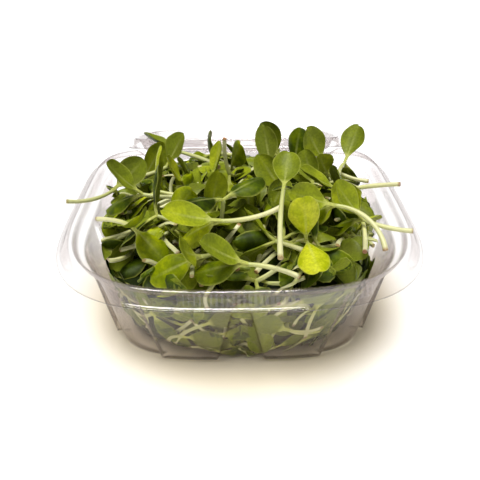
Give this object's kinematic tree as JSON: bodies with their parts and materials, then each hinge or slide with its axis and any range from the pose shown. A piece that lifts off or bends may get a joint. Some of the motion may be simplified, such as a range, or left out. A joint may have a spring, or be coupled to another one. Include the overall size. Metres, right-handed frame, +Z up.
{
  "type": "hinged clear bowl of sunflower microgreens",
  "caption": "Clear thermoformed square bowl with an open hinged lid, heaped with loose cut sunflower microgreens.",
  "frame": {"origin": "middle of the bowl's flat underside", "axes": "+Z up, +Y towards the hinge and the open lid, +X to the right seen from the front"},
  "size_m": [0.186, 0.3404, 0.0956],
  "materials": {
    "clear_pet": "clear thermoformed PET sheet, glossy, transparent",
    "packed_greens": "settled sunflower sprouts: dark green seed leaves with pale stems between, satin",
    "sprout_green": "fresh sunflower sprout: satin yellow-green to deep green seed leaves on a pale, slightly glossy stem"
  },
  "bodies": {
    "bowl": {"base_tray": "clear_pet", "hinge_strip": "clear_pet", "packed_sprouts": "packed_greens", "loose_sprouts": "packed_greens", "sprout_01": "sprout_green", "sprout_02": "sprout_green", "sprout_03": "sprout_green", "sprout_04": "sprout_green", "sprout_05": "sprout_green", "sprout_06": "sprout_green", "sprout_07": "sprout_green", "sprout_08": "sprout_green", "sprout_09": "sprout_green", "sprout_10": "sprout_green", "sprout_11": "sprout_green", "sprout_12": "sprout_green", "sprout_13": "sprout_green", "sprout_14": "sprout_green", "sprout_15": "sprout_green", "sprout_16": "sprout_green", "sprout_17": "sprout_green", "sprout_18": "sprout_green", "sprout_19": "sprout_green", "sprout_20": "sprout_green", "sprout_21": "sprout_green", "sprout_22": "sprout_green", "sprout_23": "sprout_green", "sprout_24": "sprout_green", "sprout_25": "sprout_green", "sprout_26": "sprout_green", "sprout_27": "sprout_green", "sprout_28": "sprout_green", "sprout_29": "sprout_green", "sprout_30": "sprout_green", "sprout_31": "sprout_green", "sprout_32": "sprout_green", "sprout_33": "sprout_green", "sprout_34": "sprout_green", "sprout_35": "sprout_green", "sprout_36": "sprout_green", "sprout_37": "sprout_green", "sprout_38": "sprout_green", "sprout_39": "sprout_green", "sprout_40": "sprout_green", "sprout_41": "sprout_green", "sprout_42": "sprout_green"},
    "lid": {"lid": "clear_pet"}
  },
  "joints": [
    {"name": "lid_hinge", "type": "hinge", "parent": "bowl", "child": "lid", "pos_m": [0, 0.0918, 0.0512], "axis": [1, 0, 0], "range_deg": [0, 197.37], "deforming": ["loose_sprouts", "sprout_01", "sprout_02", "sprout_03", "sprout_04", "sprout_05", "sprout_06", "sprout_07", "sprout_08", "sprout_09", "sprout_10", "sprout_11", "sprout_12", "sprout_13", "sprout_14", "sprout_15", "sprout_16", "sprout_17", "sprout_18", "sprout_19", "sprout_20", "sprout_21", "sprout_22", "sprout_23", "sprout_24", "sprout_25", "sprout_26", "sprout_27", "sprout_28", "sprout_29", "sprout_30", "sprout_31", "sprout_32", "sprout_33", "sprout_34", "sprout_35", "sprout_36", "sprout_37", "sprout_38", "sprout_39", "sprout_40", "sprout_41", "sprout_42"]}
  ]
}
